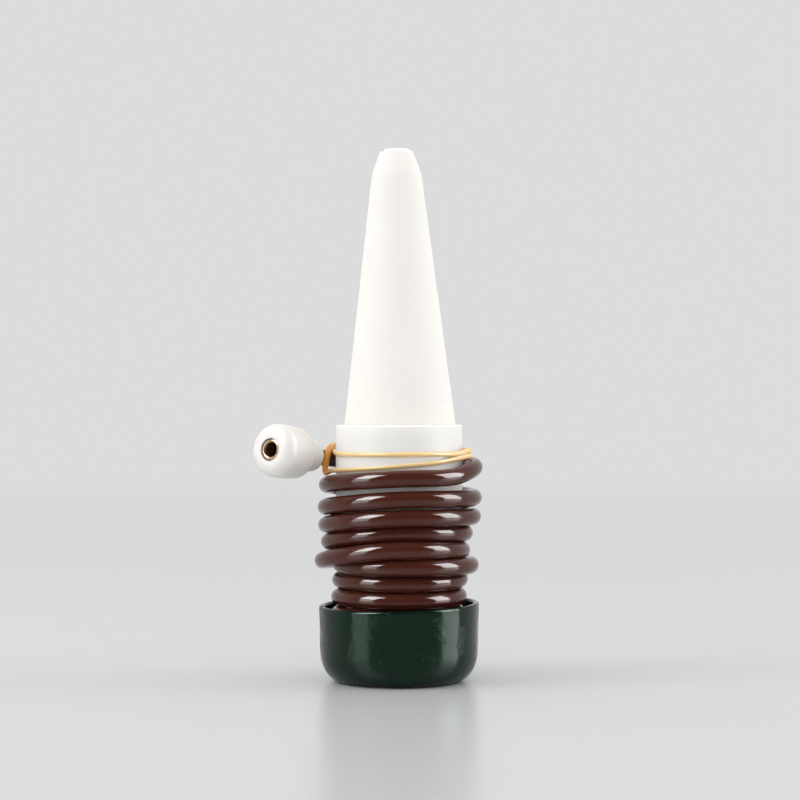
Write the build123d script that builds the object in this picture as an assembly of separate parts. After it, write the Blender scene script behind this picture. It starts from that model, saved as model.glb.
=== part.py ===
from build123d import *
from math import cos, pi, radians, sin, sqrt, tan
import os

# Self watering spike, upside down on its screw cap with its hose wound round the collar.
# Millimetres. Z is up, and the origin is the centre of the cap's flat foot.
# Angles round the axis run anticlockwise seen from above: 0 is +X, 90 is +Y.

# Cap shell
cap_radius = 19.0
cap_height = 18.3
cap_draft = 0.25
cap_wall = 1.35
cap_floor = 1.6
cap_foot_radius = 13.6
cap_corner_height = 7.2
cap_rim_round = 0.5
cap_rim_slope = 1.6
cap_rim_low_angle = 210.0
cap_locator_radius = 3.0
cap_locator_height = 0.8

# Screw socket and hose nipple inside the cap
socket_height = 13.1
socket_wall = 1.5
socket_mouth_wall = 0.8
socket_mouth_height = 2.6
flange_width = 2.0
flange_thickness = 2.0
nipple_angle = 60.0
nipple_standoff = 2.7
nipple_pad_radius = 2.1
nipple_pad_lift = 1.5
nipple_pad_height = 2.0
nipple_height = 3.3
nipple_barb_count = 2
nipple_stem_radius = 1.1
nipple_barb_radius = 1.45
nipple_bore_radius = 0.7
web_width = 2.6

# Collar
spigot_radius = 9.0
spigot_floor_gap = 1.8
spigot_lead = 0.6
neck_step = 2.2
neck_wall = 4.6
neck_length = 20.2
collar_shoulder_length = 5.6
collar_cup_length = 19.9
collar_wall = 1.45
collar_rim_round = 0.4
collar_edge_round = 1.5
reservoir_wall = 1.8
cone_seat_depth = 11.5

# Seals
o_ring_thickness = 1.6
cone_seal_thickness = 1.0
cone_seal_width = 2.4

# Ceramic cone
cone_rim_radius = 13.2
cone_foot_draft = 0.2
cone_length = 65.6
cone_shoulder_radius = 5.82
cone_nose_length = 6.5
cone_nose_bulge = 0.25
cone_tip_radius = 3.1
cone_tip_bevel = 0.8
cone_wall = 2.9
cone_end_wall = 6.5
cone_foot_bevel = 0.5
cone_lean = 0.65

# Hose
hose_diameter = 4.0
first_turn_lift = 0.3
coil_end_angle = 145.0
lead_first_run = 4.0
lead_last_run = 3.2
lead_rise = 5.0
tail_rise = 6.5
tail_length = 7.1
hose_insertion = 9.0

# Weight on the end of the hose
weight_length = 16.2
weight_radius = 6.25
weight_step = 0.25
weight_neck_wall = 1.7
weight_neck_length = 5.2
weight_shoulder_length = 1.6
weight_step_length = 2.3
weight_nose_length = 2.4
weight_face_width = 1.0
weight_nose_bulge = 0.8
weight_edge_round = 0.3
weight_tube_wall = 0.6
weight_tube_start = 5.0
weight_tube_recess = 0.25

# Rubber band
band_thickness = 1.05
band_lift = 1.25
band_spread = 1.6
band_hold = 0.6

# Clearances between pieces
thread_clearance = 0.4
seal_clearance = 0.1
locator_clearance = 0.15
cone_clearance = 0.35
hose_clearance = 0.05
shell_clearance = 0.3
band_clearance = 0.3
cut_overrun = 1.0

# Points per arc where a gap along a strand is measured
gap_steps = 12

hose_radius = hose_diameter / 2
band_radius = band_thickness / 2
hose_hole = hose_radius + hose_clearance

# Heights and radii where pieces meet
flange_top = cap_floor + flange_thickness
socket_top = cap_floor + socket_height
spigot_bottom = flange_top + spigot_floor_gap
neck_bottom = socket_top + shell_clearance
neck_top = neck_bottom + neck_length
cup_bottom = neck_top + collar_shoulder_length
collar_top = cup_bottom + collar_cup_length
cone_seat = collar_top - cone_seat_depth
cone_top = collar_top + cone_length
socket_bore = spigot_radius + thread_clearance
socket_radius = socket_bore + socket_wall
seal_seat_radius = spigot_radius + o_ring_thickness + 2 * seal_clearance
socket_mouth_radius = seal_seat_radius + socket_mouth_wall
neck_radius = spigot_radius + neck_step
cone_seat_radius = cone_rim_radius + cone_clearance
collar_radius = cone_seat_radius + collar_wall
nipple_distance = socket_radius + nipple_standoff
nipple_pad_bottom = cap_floor + nipple_pad_lift
nipple_pad_top = nipple_pad_bottom + nipple_pad_height
weight_neck_radius = hose_hole + weight_neck_wall
weight_tube_radius = hose_hole + weight_tube_wall


def polar(distance, angle, height):
    """Point at a distance from the axis, an angle in degrees and a height."""
    return Vector(distance * cos(radians(angle)), distance * sin(radians(angle)), height)


def tube(path, diameter):
    """Round tube along a path, with its volume compared with section times length."""
    start = Plane(origin=path @ 0, z_dir=path % 0)
    solid = sweep(start * Circle(diameter / 2), path=path)
    plain = pi * diameter**2 / 4 * path.length
    print(f"  length {path.length:.1f}, volume over section times length {solid.volume / plain:.4f}")
    return solid


def arc_or_line(start, direction, end):
    """Arc that leaves start along direction, or a line where the end lies straight ahead."""
    if direction.get_angle(end - start) < 0.01:
        return Edge.make_line(start, end)
    return Edge.make_tangent_arc(start, direction, end)


def biarc(start, start_way, end, end_way):
    """Two arcs that meet smoothly and join two points with given directions."""
    chord = end - start
    bend = 2 * (1 - start_way.dot(end_way))
    along = 2 * chord.dot(start_way + end_way)
    square = chord.dot(chord)
    if bend < 1e-9:
        reach = square / along
    else:
        reach = (sqrt(along**2 + 4 * bend * square) - along) / (2 * bend)
    middle = (start + end + (start_way - end_way) * reach) / 2
    middle_way = (end - end_way * reach - start - start_way * reach).normalized()
    return [arc_or_line(start, start_way, middle), arc_or_line(middle, middle_way, end)]


def smooth_edges(points, ways):
    """Biarcs through all the points, each passed in its own direction."""
    edges = []
    for index in range(len(points) - 1):
        edges += biarc(points[index], ways[index], points[index + 1], ways[index + 1])
    return edges


def rounded_route(points):
    """Straight runs joined by arcs as large as the runs beside each corner allow."""
    radii = []
    for before, corner, after in zip(points, points[1:], points[2:]):
        shorter = min((corner - before).length, (after - corner).length)
        half_turn = radians((corner - before).get_angle(after - corner)) / 2
        radii.append(0.45 * shorter / tan(half_turn))
    print("  bend radii", ", ".join(f"{radius:.1f}" for radius in radii))
    return FilletPolyline(*points, radius=radii)


# Cap shell: a cup with a drafted wall, an oval corner and a locating stud on its floor. Its rim
# isn't quite level, and is lowest at cap_rim_low_angle.
def make_cap_shell():
    corner_radius = cap_radius - cap_draft - cap_foot_radius
    blank_height = cap_height + cap_radius * tan(radians(cap_rim_slope))
    rim_way = polar(sin(radians(cap_rim_slope)), cap_rim_low_angle, cos(radians(cap_rim_slope)))
    rim_plane = Plane(origin=(0, 0, cap_height), z_dir=rim_way)
    with BuildPart() as cup:
        with BuildSketch(Plane.XZ):
            with BuildLine():
                Line((0, 0), (cap_foot_radius, 0))
                EllipticalCenterArc(
                    (cap_foot_radius, cap_corner_height), corner_radius, cap_corner_height, start_angle=270
                )
                Polyline(
                    (cap_radius - cap_draft, cap_corner_height),
                    (cap_radius, blank_height),
                    (cap_radius - cap_wall, blank_height),
                    (cap_radius - cap_draft - cap_wall, cap_corner_height),
                )
                EllipticalCenterArc(
                    (cap_foot_radius, cap_corner_height),
                    corner_radius - cap_wall,
                    cap_corner_height - cap_floor,
                    start_angle=270,
                )
                Line((cap_foot_radius, cap_floor), (0, cap_floor))
                Line((0, cap_floor), (0, 0))
            make_face()
        revolve(axis=Axis.Z)
        split(bisect_by=rim_plane, keep=Keep.BOTTOM)
        rim = cup.faces().sort_by(Axis.Z)[-1]
        fillet(rim.edges(), cap_rim_round)
        with Locations((0, 0, cap_floor)):
            Cylinder(
                cap_locator_radius,
                cap_locator_height,
                align=(Align.CENTER, Align.CENTER, Align.MIN),
            )
    return cup.part


# Screw insert: the socket for the neck, and the nipple with its bore into the socket
def make_screw_insert():
    flange_radius = socket_radius + flange_width
    seal_seat = neck_bottom - o_ring_thickness - 2 * seal_clearance
    mouth_bottom = socket_top - socket_mouth_height
    mouth_step = socket_mouth_radius - socket_radius
    stand = (Align.CENTER, Align.CENTER, Align.MIN)
    with BuildPart() as insert:
        with BuildSketch(Plane.XZ):
            with BuildLine():
                Polyline(
                    (0, cap_floor),
                    (flange_radius, cap_floor),
                    (flange_radius, flange_top),
                    (socket_radius, flange_top),
                    (socket_radius, mouth_bottom),
                    (socket_mouth_radius, mouth_bottom + mouth_step),
                    (socket_mouth_radius, socket_top),
                    (seal_seat_radius, socket_top),
                    (seal_seat_radius, seal_seat),
                    (socket_bore, seal_seat),
                    (socket_bore, flange_top),
                    (0, flange_top),
                    close=True,
                )
            make_face()
        revolve(axis=Axis.Z)
        with Locations((0, 0, cap_floor)):
            Cylinder(
                cap_locator_radius + locator_clearance,
                cap_locator_height + locator_clearance,
                align=stand,
                mode=Mode.SUBTRACT,
            )
        with Locations(Location(polar(nipple_distance, nipple_angle, nipple_pad_bottom))):
            Cylinder(nipple_pad_radius, nipple_pad_height, align=stand)
        web_start = (socket_bore + socket_radius) / 2
        web_length = nipple_distance - web_start
        with Locations(
            Location(
                polar(web_start + web_length / 2, nipple_angle, nipple_pad_bottom),
                (0, 0, nipple_angle),
            )
        ):
            Box(web_length, web_width, nipple_pad_height, align=stand)
        with Locations(Location(polar(nipple_distance, nipple_angle, nipple_pad_top))):
            Cylinder(nipple_stem_radius, nipple_height, align=stand)
        barb_height = nipple_height / nipple_barb_count
        for index in range(nipple_barb_count):
            height = nipple_pad_top + index * barb_height
            with Locations(Location(polar(nipple_distance, nipple_angle, height))):
                Cone(nipple_barb_radius, nipple_stem_radius, barb_height, align=stand)
        channel_height = flange_top + nipple_bore_radius
        with Locations(Location(polar(nipple_distance, nipple_angle, channel_height))):
            Cylinder(
                nipple_bore_radius,
                nipple_pad_top + nipple_height - channel_height + cut_overrun,
                align=stand,
                mode=Mode.SUBTRACT,
            )
        channel = Plane(
            origin=polar(nipple_distance, nipple_angle, channel_height),
            z_dir=polar(-1, nipple_angle, 0),
        )
        with BuildSketch(channel):
            Circle(nipple_bore_radius)
        extrude(amount=nipple_distance - socket_bore + cut_overrun, mode=Mode.SUBTRACT)
    return insert.part


# Collar: a tapering cup for the cone, a narrow neck and a spigot for the socket
def make_collar():
    bore_radius = neck_radius - neck_wall
    reservoir_radius = cone_seat_radius - cone_seal_width
    with BuildPart() as collar:
        with BuildSketch(Plane.XZ):
            with BuildLine():
                Polyline(
                    (bore_radius, spigot_bottom),
                    (spigot_radius - spigot_lead, spigot_bottom),
                    (spigot_radius, spigot_bottom + spigot_lead),
                    (spigot_radius, neck_bottom),
                    (neck_radius, neck_bottom),
                    (neck_radius, neck_top),
                    (collar_radius, cup_bottom),
                    (collar_radius, collar_top),
                    (cone_seat_radius, collar_top),
                    (cone_seat_radius, cone_seat),
                    (reservoir_radius, cone_seat),
                    (reservoir_radius, cup_bottom + reservoir_wall),
                    (bore_radius, neck_top),
                    close=True,
                )
            make_face()
        revolve(axis=Axis.Z)
        shoulder_edges = collar.edges().filter_by(
            lambda edge: abs(edge.center().Z - cup_bottom) < collar_rim_round
            and edge.radius > cone_seat_radius
        )
        fillet(shoulder_edges, collar_edge_round)
        rim_edges = collar.edges().group_by(Axis.Z)[-1]
        fillet(rim_edges, collar_rim_round)
    return collar.part


# O-ring in the mouth of the socket, round the top of the spigot
def make_neck_o_ring():
    section_radius = o_ring_thickness / 2
    ring_radius = spigot_radius + seal_clearance + section_radius
    ring_height = neck_bottom - seal_clearance - section_radius
    return Pos(0, 0, ring_height) * Torus(ring_radius, section_radius)


# Flat seal under the cone's foot
def make_cone_seal():
    outer_radius = cone_seat_radius - shell_clearance
    ring = Cylinder(
        outer_radius,
        cone_seal_thickness,
        align=(Align.CENTER, Align.CENTER, Align.MIN),
    )
    hole = Cylinder(
        cone_seat_radius - cone_seal_width,
        cone_seal_thickness,
        align=(Align.CENTER, Align.CENTER, Align.MIN),
    )
    return Pos(0, 0, cone_seat) * (ring - hole)


# Ceramic cone: hollow, with a straight foot in the collar and a blunt nose
def make_ceramic_cone():
    foot_radius = cone_rim_radius - cone_foot_draft
    foot = cone_seat + cone_seal_thickness + foot_radius * sin(radians(cone_lean))
    nose_radius = cone_tip_radius + cone_tip_bevel
    nose_height = cone_top - cone_tip_bevel
    shoulder_height = cone_top - cone_nose_length
    slope = (cone_rim_radius - cone_shoulder_radius) / (shoulder_height - collar_top)
    chamber_end = cone_top - cone_end_wall
    chamber_rim = cone_rim_radius - cone_wall
    chamber_tip = chamber_rim - slope * (chamber_end - collar_top)
    with BuildPart() as cone:
        with BuildSketch(Plane.XZ):
            with BuildLine():
                Polyline((0, cone_top), (cone_tip_radius, cone_top), (nose_radius, nose_height))
                ThreePointArc(
                    (nose_radius, nose_height),
                    (
                        (nose_radius + cone_shoulder_radius) / 2 + cone_nose_bulge,
                        (nose_height + shoulder_height) / 2,
                    ),
                    (cone_shoulder_radius, shoulder_height),
                )
                Polyline(
                    (cone_shoulder_radius, shoulder_height),
                    (cone_rim_radius, collar_top),
                    (foot_radius, foot + cone_foot_bevel),
                    (foot_radius - cone_foot_bevel, foot),
                    (foot_radius - cone_wall, foot),
                    (chamber_rim, collar_top),
                    (chamber_tip, chamber_end - chamber_tip),
                )
                RadiusArc(
                    (chamber_tip, chamber_end - chamber_tip),
                    (0, chamber_end),
                    -chamber_tip,
                )
                Line((0, chamber_end), (0, cone_top))
            make_face()
        revolve(axis=Axis.Z)
    pivot = Axis((0, 0, foot), (0, 1, 0))
    return cone.part.rotate(pivot, -cone_lean)


# The winding, from the cap upwards. Each row is one turn in quarters: left, front, right, back.
# The first number is the distance from the axis, beyond a hose that lies on the neck or, in the
# later turns, on the collar's cup. The second is the height above the first turn or above the
# cup's lower edge. Both are shares of the hose's diameter.
neck_turn_shares = [
    (0.14, -0.04), (0.20, 0.00), (0.20, 0.01), (0.20, 0.54),
    (0.20, 1.12), (0.20, 1.12), (0.20, 1.13), (0.20, 1.66),
    (0.18, 2.23), (0.20, 2.24), (0.22, 2.26), (0.22, 2.80),
    (0.15, 3.35), (0.52, 3.34), (1.04, 3.12), (1.32, 3.30),
    (1.44, 3.70), (1.16, 4.47), (0.36, 4.15), (0.66, 4.25),
    (0.80, 4.66), (0.54, 5.50), (0.62, 5.27), (0.86, 5.40),
]
cup_turn_shares = [
    (0.10, -0.67), (0.13, 0.07), (0.15, -0.13), (0.13, 0.07),
    (0.11, 0.45), (0.13, 1.19), (0.19, 0.99), (0.15, 1.19),
    (0.10, 1.60), (0.13, 2.33), (0.23, 2.37), (0.23, 2.57),
]
coil_end_share = (0.09, 2.81)


def coil_point(shares, angle, surface_radius, level):
    """Point of the winding over a surface, its shares taken from that surface and a level."""
    on_surface = surface_radius + shell_clearance + hose_radius
    distance = on_surface + shares[0] * hose_diameter
    return polar(distance, angle, level + shares[1] * hose_diameter)


def coil_stations():
    """Points that the winding passes, and its direction at each."""
    points = []
    first_turn = socket_top + first_turn_lift
    for shares in neck_turn_shares:
        points.append(coil_point(shares, 180 + 90 * len(points), neck_radius, first_turn))
    for shares in cup_turn_shares:
        points.append(coil_point(shares, 180 + 90 * len(points), collar_radius, cup_bottom))
    last_angle = 180 + 90 * (len(points) - 1)
    points.append(coil_point(coil_end_share, coil_end_angle, collar_radius, cup_bottom))
    ways = [polar(1, 270, tan(radians(lead_rise))).normalized()]
    for before, after in zip(points, points[2:]):
        ways.append((after - before).normalized())
    ways[-1] = polar(1, last_angle + 90, tan(radians(tail_rise)) / 2).normalized()
    ways.append(polar(1, coil_end_angle + 90, tan(radians(tail_rise))).normalized())
    return points, ways


def coil_start():
    """Centre of the winding's lower end face, and the hose's direction there."""
    points, ways = coil_stations()
    return points[0] - ways[0] * hose_diameter, ways[0]


def coil_end():
    """Centre of the winding's upper end face, and the hose's direction there."""
    points, ways = coil_stations()
    return points[-1] + ways[-1] * hose_diameter, ways[-1]


def least_gap(edges, thickness):
    """Least gap between a wound strand's turns, measured on points along its centre line."""
    spots = []
    walked = 0
    for edge in edges:
        for step in range(gap_steps):
            share = step / gap_steps
            spots.append((walked + edge.length * share, edge @ share))
        walked += edge.length
    best = (walked, 0)
    for index, (length, spot) in enumerate(spots):
        for other_length, other in spots[index + 1:]:
            if 4 * thickness < other_length - length < walked - 4 * thickness:
                gap = (other - spot).length - thickness
                best = min(best, (gap, length))
    return best


def make_hose_coil():
    points, ways = coil_stations()
    edges = [Edge.make_line(coil_start()[0], points[0])]
    edges += smooth_edges(points, ways)
    edges.append(Edge.make_line(points[-1], coil_end()[0]))
    gap, place = least_gap(edges, hose_diameter)
    print(f"winding: least gap to itself {gap:.2f} at {place:.0f} along it")
    return tube(Wire(edges), hose_diameter)


# Hose from the nipple up to the winding. These points of its route follow the ring-shaped gap in
# the cap: distance from the axis, angle and height.
lead_points = [
    (13.90, 71.0, 11.4),
    (15.00, 95.0, 12.4),
    (15.10, 122.0, 13.4),
]


def make_hose_lead():
    end, end_way = coil_start()
    points = [
        polar(nipple_distance, nipple_angle, nipple_pad_top),
        polar(nipple_distance, nipple_angle, nipple_pad_top + lead_first_run),
    ]
    points += [polar(*place) for place in lead_points]
    points += [end - end_way * lead_last_run, end]
    print("hose lead")
    return tube(rounded_route(points), hose_diameter)


# Straight end of the hose, from the winding into the weight
def make_hose_tail():
    start, way = coil_end()
    print("hose tail")
    return tube(Line(start, start + way * (tail_length + hose_insertion)), hose_diameter)


def weight_place():
    """Location whose Z runs along the weight, from its neck to its face."""
    hose_start, way = coil_end()
    return Location(Plane(origin=hose_start + way * tail_length, z_dir=way))


# White barrel of the weight, with a stepped body, a neck and a domed face
def make_weight_shell():
    tube_hole = weight_tube_radius + hose_clearance
    face_radius = tube_hole + weight_face_width
    step_radius = weight_radius - weight_step
    body_start = weight_neck_length + weight_shoulder_length
    step_end = body_start + weight_step_length
    nose_start = weight_length - weight_nose_length
    with BuildPart() as shell:
        with BuildSketch(Plane.XZ):
            with BuildLine():
                Polyline(
                    (hose_hole, 0),
                    (weight_neck_radius, 0),
                    (weight_neck_radius, weight_neck_length),
                )
                ThreePointArc(
                    (weight_neck_radius, weight_neck_length),
                    (
                        (weight_neck_radius + step_radius) / 2 + weight_nose_bulge / 2,
                        weight_neck_length + weight_shoulder_length / 2 - weight_nose_bulge / 2,
                    ),
                    (step_radius, body_start),
                )
                Polyline(
                    (step_radius, body_start),
                    (step_radius, step_end),
                    (weight_radius, step_end + weight_step),
                    (weight_radius, nose_start),
                )
                ThreePointArc(
                    (weight_radius, nose_start),
                    (
                        (weight_radius + face_radius) / 2 + weight_nose_bulge / 2,
                        nose_start + weight_nose_length / 2 + weight_nose_bulge / 2,
                    ),
                    (face_radius, weight_length),
                )
                Polyline(
                    (face_radius, weight_length),
                    (tube_hole, weight_length),
                    (tube_hole, weight_tube_start),
                    (hose_hole, weight_tube_start),
                    (hose_hole, 0),
                )
            make_face()
        revolve(axis=Axis.Z)
        outer_rear = shell.edges().group_by(Axis.Z)[0].sort_by(SortBy.RADIUS)[-1]
        fillet(outer_rear, weight_edge_round)
    return weight_place() * shell.part


# Brass tube through the weight
def make_weight_tube():
    length = weight_length - weight_tube_recess - weight_tube_start - hose_clearance
    stand = (Align.CENTER, Align.CENTER, Align.MIN)
    with BuildPart() as brass:
        Cylinder(weight_tube_radius, length, align=stand)
        Cylinder(hose_hole, length, align=stand, mode=Mode.SUBTRACT)
        chamfer(
            brass.edges().group_by(Axis.Z)[-1].sort_by(SortBy.RADIUS)[0],
            weight_tube_wall / 3,
        )
    return weight_place() * Pos(0, 0, weight_tube_start + hose_clearance) * brass.part


# Rubber band: one closed strand that goes twice round the collar and the hose's end. The strand
# that is upper in front dips outside the last turn behind and comes back under the hose's end,
# and the other one passes over the last turn and over the hose's end.
def make_rubber_band():
    end, end_way = coil_end()
    on_collar = collar_radius + band_clearance + band_radius
    upper = end.Z + band_lift + band_spread / 2
    lower = end.Z + band_lift - band_spread / 2
    last_turn = coil_point(cup_turn_shares[-1], 90, collar_radius, cup_bottom)
    clear = hose_radius + band_clearance + band_radius
    outside = last_turn.Y + clear
    above = last_turn.Z + clear + band_clearance
    slant = clear * sin(radians(45))
    side_way = Vector(end_way.Y, -end_way.X, 0).normalized()
    up_way = Vector(0, 0, 1)
    tail = end - end_way * band_hold
    loose = on_collar + band_clearance
    front_angles = (235, 270, 305)
    points = [polar(loose, 200, upper + band_radius)]
    points += [polar(on_collar, angle, upper) for angle in front_angles]
    points += [
        polar(loose, 335, upper),
        polar(last_turn.Y, 12, upper - band_clearance),
        polar(last_turn.Y + slant + band_clearance, 45, last_turn.Z + slant),
        polar(outside + band_clearance / 2, 90, last_turn.Z),
        polar(outside - band_clearance, 120, last_turn.Z + band_clearance),
        tail - end_way * band_thickness + side_way * clear - up_way * band_radius,
        tail + side_way * slant - up_way * slant,
        tail - up_way * clear,
        polar(loose, 200, lower - band_thickness),
    ]
    points += [polar(on_collar, angle, lower) for angle in front_angles]
    points += [
        polar(loose, 335, lower),
        polar(on_collar + band_thickness, 12, lower + band_clearance),
        polar(last_turn.Y - band_radius, 45, above),
        polar(last_turn.Y, 90, above),
        polar(last_turn.Y, 120, above + band_radius),
        tail + side_way * band_radius + up_way * clear,
    ]
    ways = []
    for index in range(len(points)):
        after = points[(index + 1) % len(points)]
        ways.append((after - points[index - 1]).normalized())
    edges = smooth_edges(points + points[:1], ways + ways[:1])
    gap, place = least_gap(edges, band_thickness)
    print(f"rubber band: least gap to itself {gap:.2f} at {place:.0f} along it")
    half = len(edges) // 2
    return tube(Wire(edges[:half]), band_thickness) + tube(Wire(edges[half:]), band_thickness)


os.makedirs("parts", exist_ok=True)
nodes = {
    "cap_shell": make_cap_shell(),
    "screw_insert": make_screw_insert(),
    "collar": make_collar(),
    "neck_o_ring": make_neck_o_ring(),
    "cone_seal": make_cone_seal(),
    "ceramic_cone": make_ceramic_cone(),
    "hose_coil": make_hose_coil(),
    "hose_lead": make_hose_lead(),
    "hose_tail": make_hose_tail(),
    "weight_shell": make_weight_shell(),
    "weight_tube": make_weight_tube(),
    "rubber_band": make_rubber_band(),
}
for name, solid in nodes.items():
    export_step(solid, f"parts/{name}.step")
    print(f"{name}: volume {solid.volume:.1f}")
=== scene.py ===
# %% [markdown]
# Self watering spike: a porous cone is pushed into a pot of soil, and water is sucked up a thin
# hose as the soil dries. For storage it stands upside down on its green screw cap, with the brown
# hose wound round the collar and tied with a rubber band.
#
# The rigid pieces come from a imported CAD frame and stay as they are. This script adds what is
# soft, worn or rolled: the wound hose, the band, the chalky cone, the brass tube's rim, and the
# finish of every surface. The frame is in metres. Lengths below are written in millimetres and
# multiplied by MM, apart from those of the floor and the lamps, which are in metres.

# %% Load the frame
from math import cos, hypot, pi, radians, sin, tan

import bmesh
import bpy
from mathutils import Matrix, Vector


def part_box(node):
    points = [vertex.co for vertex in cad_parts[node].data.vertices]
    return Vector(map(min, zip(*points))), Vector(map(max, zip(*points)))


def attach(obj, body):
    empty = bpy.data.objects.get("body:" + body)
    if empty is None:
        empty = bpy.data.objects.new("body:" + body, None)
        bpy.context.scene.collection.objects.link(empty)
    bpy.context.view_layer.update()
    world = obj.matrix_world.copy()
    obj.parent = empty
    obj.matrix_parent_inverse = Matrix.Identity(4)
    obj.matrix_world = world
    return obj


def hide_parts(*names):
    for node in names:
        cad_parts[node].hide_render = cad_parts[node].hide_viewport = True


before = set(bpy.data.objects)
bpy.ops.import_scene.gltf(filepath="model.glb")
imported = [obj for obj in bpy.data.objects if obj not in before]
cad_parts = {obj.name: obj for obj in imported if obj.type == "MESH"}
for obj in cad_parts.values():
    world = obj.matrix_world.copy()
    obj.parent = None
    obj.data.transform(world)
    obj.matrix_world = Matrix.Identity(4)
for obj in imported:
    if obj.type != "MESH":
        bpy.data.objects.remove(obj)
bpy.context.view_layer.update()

MM = 0.001


# %% [markdown]
# The picture was taken from half a metre away with a long lens, level with the middle of the
# object. A long lens hardly widens towards the camera, so the winding looks almost flat. The lens
# is worked out from how many pixels one millimetre covers at the object's axis.

# %% Camera
IMAGE_WIDTH = 800
SENSOR = 36.0
PIXELS_PER_MM_AT_AXIS = 4.2105
camera_x = 0.24 * MM
camera_distance = 522.5 * MM
camera_height = 66.6 * MM
FAR_CLIP = 200


def deselect():
    bpy.ops.object.select_all(action="DESELECT")


lens_in_pixels = PIXELS_PER_MM_AT_AXIS * camera_distance / MM
deselect()
bpy.ops.object.camera_add(
    location=(camera_x, -camera_distance, camera_height), rotation=(pi / 2, 0, 0)
)
camera = bpy.context.object
camera.name = "studio_camera"
camera.data.sensor_width = SENSOR
camera.data.lens = lens_in_pixels / IMAGE_WIDTH * SENSOR
camera.data.clip_end = FAR_CLIP
bpy.context.scene.camera = camera
print("lens", round(camera.data.lens, 1), "mm")


# %% [markdown]
# The hose is one soft tube, pushed on the nipple inside the cap, wound nine times and held
# straight by the weight's neck at its far end. A curve object suits it: one spline carries the
# route, and the bevel makes it round. The spline bends towards its points and does not pass
# through them, so points on a circle stand a little further out than the hose itself.
#
# Each turn is a short list of stations: the angle round the axis, the distance from
# the axis and the height. The first row is the lowest turn. The turns sit on each other, but not
# evenly: the fourth swings outwards on the right, and the fifth starts outside it on the left and
# draws in again.

# %% The turns of the hose
HOSE_DIAMETER = 4.0
POINTS_PER_TURN = 24
FIRST_ANGLE = 180
LAST_ANGLE = 145
TAIL_START = (17.66, 52.04)

turns = [
    [(180, 14.30, 15.90), (270, 14.00, 15.90), (360, 14.00, 16.10), (450, 14.00, 17.90)],
    [(180, 14.15, 20.00), (270, 14.20, 19.90), (360, 14.15, 20.20), (450, 14.00, 21.90)],
    [(180, 13.90, 24.00), (270, 14.20, 23.95), (360, 14.40, 24.30), (450, 14.20, 26.00)],
    [(180, 14.00, 28.00), (225, 15.00, 27.65), (270, 16.20, 27.90), (360, 17.00, 27.50),
     (450, 17.90, 27.60)],
    [(180, 18.10, 28.50), (225, 17.90, 30.45), (270, 17.40, 32.00), (360, 14.90, 31.10),
     (450, 15.60, 31.60)],
    [(180, 16.60, 33.00), (270, 15.20, 35.75), (360, 15.60, 35.10), (450, 16.40, 35.60)],
    [(180, 17.20, 37.00), (270, 17.40, 39.35), (360, 17.50, 39.05), (450, 17.50, 39.75)],
    [(180, 17.36, 41.20), (270, 17.40, 43.60), (360, 17.70, 43.50), (450, 17.60, 44.50)],
    [(180, 17.05, 46.45), (222, 17.20, 47.50), (270, 17.30, 48.45), (315, 17.50, 48.65),
     (332, 17.70, 49.60), (360, 17.90, 50.80), (450, 17.90, 51.60)],
]


def place(distance, angle, height):
    """Point in metres from a distance and height in millimetres and an angle in degrees."""
    return Vector((distance * cos(radians(angle)), distance * sin(radians(angle)), height)) * MM


def smooth_value(places, values, at):
    """Value at a place between stations, on a curve that passes each of them smoothly."""
    index = 0
    while index < len(places) - 2 and at > places[index + 1]:
        index += 1
    slopes = []
    for corner in (index, index + 1):
        before = max(corner - 1, 0)
        after = min(corner + 1, len(places) - 1)
        slopes.append((values[after] - values[before]) / (places[after] - places[before]))
    span = places[index + 1] - places[index]
    share = (at - places[index]) / span
    start_part = (1 + 2 * share) * (1 - share) ** 2 * values[index]
    end_part = share**2 * (3 - 2 * share) * values[index + 1]
    start_slope = share * (1 - share) ** 2 * span * slopes[0]
    end_slope = share**2 * (share - 1) * span * slopes[1]
    return start_part + end_part + start_slope + end_slope


stations = []
for number, turn in enumerate(turns):
    for angle, distance, height in turn:
        stations.append((angle + 360 * number, distance, height))
stations.append((LAST_ANGLE + 360 * len(turns), *TAIL_START))

station_angles = [station[0] for station in stations]
station_distances = [station[1] for station in stations]
station_heights = [station[2] for station in stations]
whole_angle = station_angles[-1] - FIRST_ANGLE
steps = round(whole_angle / 360 * POINTS_PER_TURN)
# The last point stands half a step before the end, so the curve runs on into the straight stretch.
step_angle = whole_angle / (steps - 0.5)
outward = 1 / cos(radians(step_angle / 2))
coil_points = []
for step in range(steps):
    angle = FIRST_ANGLE + step * step_angle
    distance = smooth_value(station_angles, station_distances, angle) * outward
    height = smooth_value(station_angles, station_heights, angle)
    coil_points.append(place(distance, angle, height))
print(len(turns), "turns,", len(coil_points), "points, one each", round(step_angle, 2), "degrees")


# %% [markdown]
# Below the winding the hose climbs from the nipple in the gap between cap and socket. Above it,
# the last stretch leaves the winding along a straight line, because it is stiff and the band
# holds it, and ends inside the weight. These points repeat the route of the CAD tube.

# %% The hose as one cord
CURVE_STEPS = 4
BEVEL_STEPS = 10
NIPPLE = (13.6, 60, 5.1)
lead_places = [
    NIPPLE,
    (13.60, 60, 9.1),
    (13.90, 71, 11.4),
    (15.00, 95, 12.4),
    (15.10, 122, 13.5),
    (15.30, 145, 14.7),
    (14.80, 164, 15.5),
]
tail_way = Vector((-0.5699, -0.8139, 0.1132)).normalized()
tail_start = place(TAIL_START[0], LAST_ANGLE, TAIL_START[1])
first_tail_step = TAIL_START[0] * tan(radians(step_angle / 2))
tail_steps = (first_tail_step, 7.0, 13.5, 20.1)
hose_points = [place(*station) for station in lead_places] + coil_points
hose_points += [tail_start + tail_way * distance * MM for distance in tail_steps]


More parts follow.
